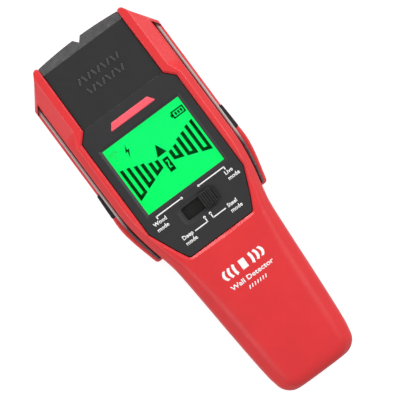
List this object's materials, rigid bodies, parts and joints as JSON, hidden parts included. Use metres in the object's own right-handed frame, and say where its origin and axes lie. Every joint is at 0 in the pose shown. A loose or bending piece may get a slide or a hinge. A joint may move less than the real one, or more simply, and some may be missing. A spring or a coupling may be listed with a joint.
{
  "type": "stud finder",
  "caption": "Handheld stud finder with a backlit display, sliding mode switch, side scan button, marking notch at the nose and a battery door in the back of the handle",
  "frame": {"origin": "under the middle of the tool's overall box, on the surface that its back rests on", "axes": "+X across the tool to the right as the face is read, +Y along it from the tail to the nose, +Z out of the face"},
  "size_m": [0.0684, 0.179, 0.0285],
  "materials": {
    "housing_red": "satin moulded plastic",
    "black_plastic": "fine textured moulded plastic",
    "fascia_plastic": "satin moulded plastic with white print",
    "clear_lens": "polished clear",
    "lcd_glass": "smooth, lit green from behind",
    "backlight": "diffuse light guide",
    "white_plastic": "matt moulded plastic",
    "elastomer": "matt",
    "translucent_red": "smooth translucent",
    "led": "smooth",
    "knob_plastic": "satin moulded plastic",
    "button_rubber": "matt rubber",
    "trim_rubber": "matt rubber",
    "circuit_board": "satin solder mask",
    "copper": "bright metal",
    "gold_pins": "plated metal",
    "chip": "matt moulded resin",
    "battery_wrap": "printed wrap",
    "plated_steel": "bright plated",
    "lead_red": "smooth cable sheath",
    "lead_black": "smooth cable sheath",
    "door_plastic": "satin moulded plastic",
    "screw_steel": "black zinc plated",
    "felt": "soft felt",
    "label": "matt printed film"
  },
  "bodies": {
    "housing": {"upper_shell": "housing_red", "lower_shell": "housing_red", "nose_cover": "black_plastic", "faceplate": "fascia_plastic", "lcd_window": "clear_lens", "lcd_glass": "lcd_glass", "lcd_backlight": "backlight", "lcd_frame": "white_plastic", "lcd_connector_strip": "elastomer", "light_pipe": "translucent_red", "indicator_leds": "led", "mode_switch_housing": "plated_steel", "tact_switch_body": "knob_plastic", "button_blank": "button_rubber", "side_trim_right": "trim_rubber", "side_trim_left": "trim_rubber", "main_board": "circuit_board", "sensor_board": "circuit_board", "sensor_plates": "copper", "detection_coil": "copper", "coil_bobbin": "white_plastic", "board_header": "gold_pins", "microcontroller": "chip", "buzzer": "chip", "battery": "battery_wrap", "battery_terminals": "plated_steel", "contact_plate": "circuit_board", "battery_lead_positive": "lead_red", "battery_lead_negative": "lead_black", "case_screws": "screw_steel", "glide_pads": "felt", "tail_feet": "trim_rubber", "rating_label": "label"},
    "mode_knob": {"mode_knob": "knob_plastic", "mode_shutter": "knob_plastic", "mode_switch_slider": "knob_plastic"},
    "scan_button": {"scan_button": "button_rubber", "tact_switch_plunger": "knob_plastic"},
    "battery_door": {"battery_door": "door_plastic"}
  },
  "joints": [
    {"name": "mode_slide", "type": "slide", "parent": "housing", "child": "mode_knob", "axis": [-1, 0, 0], "range_m": [0, 0.00909]},
    {"name": "scan_button_press", "type": "slide", "parent": "housing", "child": "scan_button", "axis": [1, 0, 0], "range_m": [0, 0.0008], "stiffness_N_per_m": 800},
    {"name": "battery_door_slide", "type": "slide", "parent": "housing", "child": "battery_door", "axis": [0, -1, 0], "range_m": [0, 0.056]}
  ]
}
